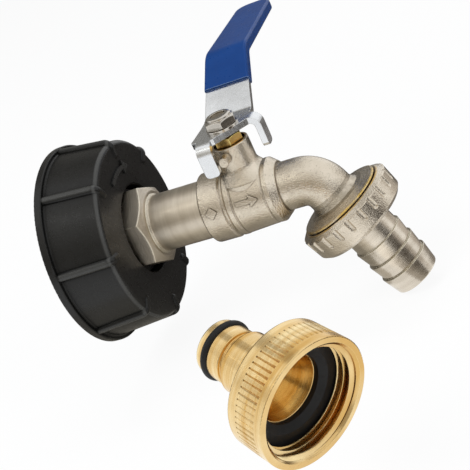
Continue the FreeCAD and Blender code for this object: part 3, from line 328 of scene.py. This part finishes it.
def turned_metal(name, light, dark, place, rough, edge_highlight_radius=0.0005, crevice_shade_colour=TURNED_CREVICE_SHADE, rounding=0.00025,
                 forged_to=None):
    """Machined on a lathe: fine rings round the own axis of the piece, with faint smudges.

    Up to the station forged_to, in millimetres, the surface keeps the grain of the forging.
    """
    n = Nodes(name)
    rotation = along_axis(place)
    ring = n.noise(n.place(rotation, scale=(5200, 60, 60)), scale=1.0, detail=3, roughness=0.6)
    bands = n.noise(n.place(rotation, scale=(420, 24, 24)), scale=1.0, detail=3, roughness=0.6)
    smudge = n.noise(n.place(), scale=110, detail=4, roughness=0.6)
    colour = n.mix(n.span(bands, 0.35, 0.68, 0.0, 1.0), dark, light)
    colour = n.mix(n.span(smudge, 0.4, 0.72, 0.0, 0.4), colour, scaled(dark, 0.75))
    # Painted shade in the corners and grooves
    colour = n.paint_crevice_shade(colour, crevice_shade_colour, distance=0.0014)
    # Painted highlight: a lighter colour along the sharp edges
    colour = n.mix(n.span(n.edges(edge_highlight_radius), 0.2, 0.8, 0.0, 0.8), colour, scaled(light, 1.35))
    normal = n.bump(ring, strength=0.25, distance=0.00008, under=n.soft_edges(rounding))
    if forged_to is not None:
        station, _ = n.station(place)
        forged = n.fall(station, forged_to - FORGING_BLUR, forged_to)
        grain = n.product(n.noise(n.place(), **BLASTED), forged)
        normal = n.bump(grain, strength=0.7, distance=0.0002, under=normal)
    return n.finish(colour, n.span(ring, 0.3, 0.7, *rough), normal, Metallic=1.0)


def sheet_metal(name, light, dark, rough):
    """Rolled and zinc-plated sheet: faint grain along the strip and soft cloudy patches."""
    n = Nodes(name)
    grain = n.noise(n.place(scale=(1500, 60, 200)), scale=1.0, detail=3, roughness=0.6)
    patch = n.noise(n.place(), scale=130, detail=4, roughness=0.65)
    colour = n.mix(n.span(patch, 0.35, 0.68, 0.0, 1.0), dark, light)
    soft = n.bump(patch, strength=0.12, distance=0.0005, under=n.soft_edges(0.0003))
    normal = n.bump(grain, strength=0.08, distance=0.00005, under=soft)
    return n.finish(colour, n.span(grain, 0.3, 0.75, *rough), normal, Metallic=1.0)


def paint_rim_highlight(n, colour):
    """Paints a highlight, as a lighter colour, on the crowns of the cap's ribs and on the rounded edge round
    its face.
    """
    station, radius = n.station(INLET)
    crown_height = combine(n.tree, "MULTIPLY_ADD", station, CAP_TAPER, radius)
    crown = n.product(n.rise(crown_height, CROWN_RADIUS, CROWN_RADIUS + CROWN_FADE, top=0.7),
                      n.rise(station, FLANGE_FRONT_X, FLANGE_FRONT_X + HIGHLIGHT_FADE))
    start = CAP_FACE_X - EDGE_START
    stop = CAP_FACE_X - EDGE_STOP
    band = n.product(n.rise(station, start, start + HIGHLIGHT_FADE), n.fall(station, stop - HIGHLIGHT_FADE / 2, stop))
    edge = n.product(band, n.rise(radius, FACE_EDGE_RADIUS, FACE_EDGE_RADIUS + HIGHLIGHT_FADE, top=0.8))
    return n.mix(combine(n.tree, "MAXIMUM", crown, edge), colour, RIM_HIGHLIGHT_BLACK)


def moulded(name, light, dark, rough, grain_scale, grain_strength, painted_highlight=False, edge_highlight=None, **plain):
    """Moulded plastic or rubber: fine texture, slow changes of tone and gloss.

    The cap gets painted highlights on its rib crowns and face edge, and painted shade as weaker reflection
    in its corners. The edge colour is a painted highlight along the sharp edges.
    """
    n = Nodes(name)
    raw = n.place()
    grain = n.noise(raw, grain_scale, detail=2, roughness=0.5)
    slow = n.noise(raw, scale=45, detail=4, roughness=0.6)
    scuff = n.noise(raw, scale=480, detail=3, roughness=0.65)
    colour = n.mix(n.span(slow, 0.3, 0.7, 0.0, 1.0), dark, light)
    if painted_highlight:
        # Painted highlight on the rib crowns and on the rounded edge of the face
        colour = paint_rim_highlight(n, colour)
        # Painted shade: less reflection in the cap's corners and near its ribs
        n.link(n.span(n.openness(0.009), 0.5, 0.98, 0.02, 0.38), n.shader.inputs["Specular IOR Level"])
    # Painted highlight: a lighter colour along the sharp edges, such as the coating's rim
    if edge_highlight is not None:
        colour = n.mix(n.span(n.edges(0.0004), 0.3, 0.9, 0.0, 0.7), colour, edge_highlight)
    uneven = n.bump(slow, strength=0.08, distance=0.001)
    normal = n.bump(grain, grain_strength, distance=0.00012, under=uneven)
    return n.finish(colour, n.span(scuff, 0.3, 0.72, *rough), normal, **plain)


# Thin plating that lets the metal below show, and painted shade on the elbow by its flange: place, stations,
# radii and colour
FLANGE_RIM = (OUTLET, (11.9, 13.0), (15.2, 18.0), (0.80, 0.56, 0.18))
NECK_MOUTH = (STEM, (21.4, 24.4), (0.0, 7.0), (0.58, 0.37, 0.12))
# Painted shade: darkens the fillet between the elbow and its flange
ELBOW_FILLET_SHADE = (OUTLET, (6.5, 11.6), (9.0, 12.6), (0.44, 0.39, 0.31))
NUT_RIM = (OUTLET, (12.9, 13.5), (15.0, 18.6), (0.62, 0.42, 0.15))

# Light colour, dark colour and range of roughness, with what sets each material apart
materials = {
    "black": moulded("black_moulding", (0.008, 0.008, 0.0075), (0.004, 0.004, 0.0036), (0.24, 0.38),
                     grain_scale=2400, grain_strength=0.2, painted_highlight=True),
    # The raised mark's lighter black is a painted highlight
    "mark": moulded("black_mark_painted_highlight", (0.03, 0.03, 0.029), (0.018, 0.018, 0.017), (0.24, 0.38),
                    grain_scale=2400, grain_strength=0.2, Specular_IOR_Level=0.4),
    "cast": cast_metal("nickel_casting", NICKEL, NICKEL_SHADE, (0.1, 0.22), grain_depth=0.00022,
                       crevice_shade_reach=0.0014, tints=(FLANGE_RIM, NECK_MOUTH, ELBOW_FILLET_SHADE)),
    "tube": turned_metal("nickel_turned", NICKEL, NICKEL_SHADE, INLET, (0.3, 0.42), edge_highlight_radius=0.0008,
                         rounding=0.0007, forged_to=HEX_END_X),
    "nut": cast_metal("nickel_nut", NICKEL, NICKEL_SHADE, (0.14, 0.26), grain_depth=0.0002,
                      crevice_shade_reach=0.0018, tints=(NUT_RIM,), grain_strength=0.6, rounding=0.0002, painted_highlight=0.7),
    "barb": turned_metal("nickel_barb", (0.80, 0.73, 0.62), (0.66, 0.59, 0.49), OUTLET, (0.18, 0.3)),
    "steel": sheet_metal("zinc_sheet", (0.88, 0.9, 0.92), (0.77, 0.79, 0.81), (0.2, 0.32)),
    "bolt": turned_metal("bolt_chrome", (0.72, 0.68, 0.62), (0.5, 0.47, 0.42), STEM, (0.1, 0.2)),
    "stud": turned_metal("stem_plated", (0.5, 0.44, 0.34), (0.34, 0.29, 0.22), STEM, (0.26, 0.4)),
    "gland": turned_metal("gland_brass", (1.0, 0.74, 0.30), (0.80, 0.50, 0.15), STEM, (0.16, 0.28)),
    "brass": turned_metal("brass_turned", BRASS, BRASS_SHADE, CONNECTOR, (0.14, 0.26), edge_highlight_radius=0.00012,
                          crevice_shade_colour=BRASS_CREVICE_SHADE, rounding=0.00006),
    "grip": moulded("blue_coating", (0.003, 0.047, 0.21), (0.002, 0.034, 0.16), (0.26, 0.38),
                    grain_scale=1500, grain_strength=0.1, edge_highlight=(0.3, 0.42, 0.6), Specular_IOR_Level=0.2),
    "rubber": moulded("black_rubber", (0.012, 0.0115, 0.0115), (0.006, 0.006, 0.006), (0.42, 0.6),
                      grain_scale=2000, grain_strength=0.2, Specular_IOR_Level=0.3),
    "white": moulded("white_seat", (0.82, 0.82, 0.8), (0.7, 0.7, 0.68), (0.4, 0.55),
                     grain_scale=1800, grain_strength=0.1),
}

NODE_MATERIALS = {
    "tank_cap": "black", "cap_seal": "rubber", "hub_washer": "rubber", "lock_nut": "nut",
    "tail_piece": "tube", "body_ring": "rubber", "valve_body": "cast", "inlet_seat": "white",
    "outlet_seat": "white", "ball": "barb", "stem": "stud", "stem_ring": "rubber",
    "stem_packing": "white", "gland_nut": "gland", "lever_plate": "steel", "lever_grip": "grip",
    "spring_washer": "bolt", "lever_nut": "bolt", "union_nut": "nut", "hose_washer": "rubber",
    "hose_tail": "barb", "connector_body": "brass", "connector_washer": "rubber", "connector_ring": "rubber",
}
for node, key in NODE_MATERIALS.items():
    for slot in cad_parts[node].material_slots:
        slot.material = materials[key]


def mesh_object(name, points, faces, place, material, body, slot):
    """A mesh piece from millimetre points in a local frame, smooth shaded, riding on a body."""
    mesh = bpy.data.meshes.new(name)
    mesh.from_pydata([place @ Vector(p) for p in points], [], faces)
    mesh.validate()
    mesh.update()
    mesh.polygons.foreach_set("use_smooth", [True] * len(mesh.polygons))
    mesh.set_sharp_from_angle(angle=math.radians(SHARP_ANGLE))
    mesh.materials.append(materials[material])
    piece = bpy.data.objects.new(name, mesh)
    bpy.context.scene.collection.objects.link(piece)
    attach(piece, body)
    return piece


def thread(name, place, start, end, pitch, wall, crest, material, body, slot):
    """Right-hand screw ridge round local X between two stations, fading in and out at its ends."""
    turns = (end - start) / pitch
    steps = max(8, round(turns * STEPS_PER_TURN))
    buried = wall + (RIDGE_ROOT if wall > crest else -RIDGE_ROOT)
    points = []
    for i in range(steps + 1):
        share = i / steps
        angle = 2 * math.pi * turns * share
        station = start + pitch * turns * share
        fade = min(1.0, min(share, 1 - share) * turns * 360 / RIDGE_FADE)
        fade = fade * fade * (3 - 2 * fade)
        ridge = [(offset, wall + (crest - wall) * height * fade) for offset, height in RIDGE]
        for offset, radius in [(-RIDGE_FOOT, buried), *ridge, (RIDGE_FOOT, buried)]:
            points.append((station + offset * pitch, radius * math.sin(angle), radius * math.cos(angle)))
    count = len(RIDGE) + 2
    faces = []
    for i in range(steps):
        for j in range(count):
            a = i * count + j
            b = i * count + (j + 1) % count
            faces.append((a, b, b + count, a + count))
    faces.append(tuple(range(count - 1, -1, -1)))
    faces.append(tuple(steps * count + j for j in range(count)))
    return mesh_object(name, points, faces, place, material, body, slot)


def raised(name, stations, spread, height, material, body, slot):
    """Low raised mark with its foot sunk in the piece.

    Stations are (along, half width), and spread puts (along, across, height) on the piece.
    """
    columns = MARK_COLUMNS
    points = []
    for level_height in (-MARK_ROOT, height):
        for along_it, half in stations:
            for j in range(columns + 1):
                points.append(spread(along_it, half * (2 * j / columns - 1), level_height))
    rows = len(stations)
    layer = rows * (columns + 1)
    faces = []
    for i in range(rows - 1):
        for j in range(columns):
            a = i * (columns + 1) + j
            b = a + columns + 1
            faces.append((a, b, b + 1, a + 1))
            faces.append((layer + a, layer + a + 1, layer + b + 1, layer + b))
    rim = list(range(columns + 1))
    rim += [i * (columns + 1) + columns for i in range(1, rows)]
    rim += [(rows - 1) * (columns + 1) + j for j in range(columns - 1, -1, -1)]
    rim += [i * (columns + 1) for i in range(rows - 2, 0, -1)]
    for a, b in zip(rim, rim[1:] + rim[:1]):
        faces.append((a, b, layer + b, layer + a))
    return mesh_object(name, points, faces, INLET, material, body, slot)


def on_barrel(start, radius, turn):
    """Spread over the barrel of the body, with its length along the flow."""
    def spread(along_it, across, height):
        angle = math.radians(turn) + across / radius
        return (start + along_it, (radius + height) * math.sin(angle), (radius + height) * math.cos(angle))
    return spread


def on_cap_face(face, radius, turn):
    """Spread round the axis over the face of the cap."""
    def spread(along_it, across, height):
        angle = math.radians(turn) + along_it / radius
        return (face + height, (radius + across) * math.sin(angle), (radius + across) * math.cos(angle))
    return spread


flow_arrow_place = on_barrel(start=68.6, radius=SOCKET_RADIUS, turn=-74)
lozenge_place = on_barrel(start=56.4, radius=BARREL_RADIUS, turn=-76)
turn_arrow_place = on_cap_face(CAP_FACE_X, TURN_ARROW_RADIUS, turn=-20)
raised("flow_arrow", ARROW, flow_arrow_place, ARROW_HEIGHT, "cast", "valve", "nickel")
raised("foundry_mark", LOZENGE, lozenge_place, LOZENGE_HEIGHT, "cast", "valve", "nickel")
raised("turn_arrow", TURN_ARROW, turn_arrow_place, TURN_ARROW_HEIGHT, "mark", "valve", "cap_plastic")

thread("connector_thread", CONNECTOR, *CONNECTOR_THREAD, "brass", "valve", "brass")
thread("tank_thread", INLET, *TANK_THREAD, "black", "valve", "cap_plastic")
thread("inlet_thread", INLET, *INLET_THREAD, "nut", "valve", "nickel")
thread("outlet_thread", OUTLET, *OUTLET_THREAD, "nut", "valve", "nickel")
thread("union_thread", OUTLET, *UNION_THREAD, "nut", "union_nut", "nickel")

# Stage, lights and camera, in metres
FLOOR_GAP = 0.0005
FLOOR_REACH = 6.0
FLOOR_WHITE = 0.92
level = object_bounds()[0].z - FLOOR_GAP
floor_mesh = bpy.data.meshes.new("floor")
floor_corners = [(x * FLOOR_REACH, y * FLOOR_REACH, level) for x, y in ((-1, -1), (1, -1), (1, 1), (-1, 1))]
floor_mesh.from_pydata(floor_corners, [], [(0, 1, 2, 3)])
floor = bpy.data.objects.new("floor", floor_mesh)
bpy.context.scene.collection.objects.link(floor)


def source(tree, kind, colour, strength=None):
    """Adds a shader of one colour, which for a light has a strength too."""
    node = tree.nodes.new(kind)
    node.inputs["Color"].default_value = (*colour, 1)
    if strength is not None:
        node.inputs["Strength"].default_value = strength
    return node.outputs[0]


def finish_backdrop(tree, lit, plain, white_share, output):
    """Ends a tree with the lit shader, which camera and mirror rays see mixed with a plain one."""
    path = tree.nodes.new("ShaderNodeLightPath").outputs
    seen = combine(tree, "MAXIMUM", path["Is Camera Ray"], path["Is Glossy Ray"])
    seen = combine(tree, "MAXIMUM", seen, path["Is Transmission Ray"])
    mix = tree.nodes.new("ShaderNodeMixShader")
    tree.links.new(combine(tree, "MULTIPLY", seen, white_share), mix.inputs["Fac"])
    tree.links.new(lit, mix.inputs[1])
    tree.links.new(plain, mix.inputs[2])
    end = tree.nodes.new(output)
    tree.links.new(mix.outputs[0], end.inputs["Surface"])


floor_material = bpy.data.materials.new("pale_floor")
floor_material.use_nodes = True
tree = floor_material.node_tree
tree.nodes.clear()
diffuse = source(tree, "ShaderNodeBsdfDiffuse", (0.9, 0.9, 0.9))
white = source(tree, "ShaderNodeEmission", (1, 1, 1), 1.0)
finish_backdrop(tree, diffuse, white, FLOOR_WHITE, "ShaderNodeOutputMaterial")
floor_mesh.materials.append(floor_material)

world = bpy.data.worlds.new("studio")
world.use_nodes = True
bpy.context.scene.world = world
tree = world.node_tree
tree.nodes.clear()
dim = source(tree, "ShaderNodeBackground", (0.9, 0.95, 1.0), 0.35)
white = source(tree, "ShaderNodeBackground", (1, 1, 1), 1.0)
finish_backdrop(tree, dim, white, 1.0, "ShaderNodeOutputWorld")

# Where the lights aim, in the middle of the part
TARGET = Vector((0.075, -0.02, 0.0))


def softbox(name, place, width, height, watts):
    """Area light aimed at the middle of the part."""
    data = bpy.data.lights.new(name, "AREA")
    data.shape = "RECTANGLE"
    data.size = width
    data.size_y = height
    data.energy = watts
    lamp = bpy.data.objects.new(name, data)
    lamp.location = place
    lamp.rotation_mode = "QUATERNION"
    lamp.rotation_quaternion = (TARGET - Vector(place)).to_track_quat("-Z", "Y")
    lamp.visible_glossy = False
    bpy.context.scene.collection.objects.link(lamp)


def card(name, corners, shade):
    """Plain studio card that only reflections see, as a photographer sets round shiny metal."""
    mesh = bpy.data.meshes.new(name)
    mesh.from_pydata(corners, [], [(0, 1, 2, 3)])
    material = bpy.data.materials.new(name)
    material.use_nodes = True
    shader = material.node_tree.nodes["Principled BSDF"]
    shader.inputs["Base Color"].default_value = (0, 0, 0, 1)
    shader.inputs["Specular IOR Level"].default_value = 0.0
    shader.inputs["Emission Color"].default_value = (*shade, 1)
    shader.inputs["Emission Strength"].default_value = 1.0
    mesh.materials.append(material)
    panel = bpy.data.objects.new(name, mesh)
    bpy.context.scene.collection.objects.link(panel)
    panel.visible_camera = False
    panel.visible_diffuse = False
    panel.visible_shadow = False
    panel.visible_transmission = False


def flat_card(name, x, y, shade):
    """Card that lies on the floor, between two values of X and two of Y."""
    corners = [(x[0], y[0]), (x[1], y[0]), (x[1], y[1]), (x[0], y[1])]
    card(name, [(*corner, level + FLAT_LIFT) for corner in corners], shade)


def ring_card(name, turns, inner, outer, shade):
    """Cards that span two directions in degrees, between two rings given as radius and height.

    The rings have their middle on the flow's axis, at the target's X.
    """
    count = math.ceil((turns[1] - turns[0]) / CARD_TURN)
    for i in range(count):
        first, last = [math.radians(turns[0] + (turns[1] - turns[0]) * j / count) for j in (i, i + 1)]
        edges = (first, *inner), (last, *inner), (last, *outer), (first, *outer)
        corners = [(TARGET.x + radius * math.cos(angle), radius * math.sin(angle), height)
                   for angle, radius, height in edges]
        card(f"{name}_{i + 1}", corners, shade)


# The studio as the shiny metal shows it: cards on the floor, walls at the far ring and sky above
CARD_TURN = 20
FLAT_LIFT = 0.0004
FAR = 0.9
LOW = level + 0.0008
# The cards under the part are painted shade: they stand for the part's shadow on the floor in the metal's
# reflections
flat_card("under_card_1", (-0.06, 0.095), (-0.026, 0.04), (0.30, 0.28, 0.24))
flat_card("under_tail_card", (0.095, 0.105), (-0.016, 0.04), (0.56, 0.53, 0.48))
flat_card("behind_tail_card", (0.109, 0.17), (0.01, 0.09), (0.26, 0.24, 0.22))
flat_card("under_card_2", (-0.06, 0.1), (-0.046, -0.026), (0.48, 0.45, 0.39))
flat_card("under_card_3", (-0.06, 0.1), (-0.07, -0.046), (0.72, 0.68, 0.6))
flat_card("front_card", (0.106, 0.15), (-0.08, -0.03), (1.2, 1.17, 1.12))
ring_card("gap_near_floor", (-38, -8), (0.054, LOW), (0.066, LOW), (0.45, 0.42, 0.38))
ring_card("gap_mid_floor", (-38, -8), (0.066, LOW), (0.082, LOW), (0.25, 0.23, 0.2))
ring_card("gap_floor", (-36, -10), (0.082, LOW), (FAR, LOW), (0.11, 0.1, 0.09))
ring_card("gap_wall", (-40, -10), (FAR, LOW), (FAR, 0.14), (0.06, 0.055, 0.05))
ring_card("gap_side_floor", (-10, 3), (0.1, LOW), (FAR, LOW), (0.48, 0.44, 0.4))
ring_card("gap_side_wall", (-10, 3), (FAR, LOW), (FAR, 0.14), (0.46, 0.42, 0.38))
ring_card("gap_front_wall", (-52, -40), (FAR, LOW), (FAR, 0.2), (0.18, 0.16, 0.14))
ring_card("front_wall", (-150, -52), (FAR, LOW), (FAR, 0.44), (0.44, 0.41, 0.36))
ring_card("front_sky", (-160, -52), (FAR, 0.44), (0.4, FAR), (0.72, 0.69, 0.64))
ring_card("right_floor", (26, 42), (0.1, LOW), (FAR, LOW), (0.62, 0.58, 0.54))
ring_card("right_wall", (26, 42), (FAR, LOW), (FAR, 0.3), (0.62, 0.58, 0.54))
ring_card("rear_right_floor", (42, 60), (0.1, LOW), (FAR, LOW), (0.55, 0.51, 0.47))
ring_card("rear_right_wall", (42, 60), (FAR, LOW), (FAR, 0.2), (0.32, 0.3, 0.28))
ring_card("rear_floor", (60, 165), (0.04, LOW), (FAR, LOW), (0.12, 0.11, 0.1))
ring_card("rear_wall", (100, 165), (FAR, LOW), (0.7, 0.95), (0.24, 0.23, 0.21))
ring_card("rear_sky", (100, 152), (0.7, 0.95), (0.1, 1.0), (0.5, 0.48, 0.45))
ring_card("sky_strip", (-150, -96), (0.62, 0.68), (0.55, 0.76), (2.0, 2.0, 1.95))

softbox("key", (-0.25, -0.75, 0.95), width=0.6, height=0.6, watts=8.0)
softbox("side", (0.95, -0.35, 0.35), width=0.35, height=0.9, watts=3.0)
softbox("top", (0.1, 0.35, 1.0), width=0.8, height=0.4, watts=4.0)

camera_data = bpy.data.cameras.new("camera")
camera_data.sensor_width = SENSOR_WIDTH
camera_data.lens = FOCAL_LENGTH
camera_data.clip_start = 0.01
camera_data.clip_end = 50
camera = bpy.data.objects.new("camera", camera_data)
up = Vector(CAMERA_UP)
back = Vector(CAMERA_BACK)
turn = Matrix((up.cross(back), up, back)).transposed().to_4x4()
camera.matrix_world = Matrix.Translation(Vector(CAMERA_PLACE) * MM) @ turn
bpy.context.scene.collection.objects.link(camera)
bpy.context.scene.camera = camera
bpy.context.scene.view_settings.view_transform = "Standard"
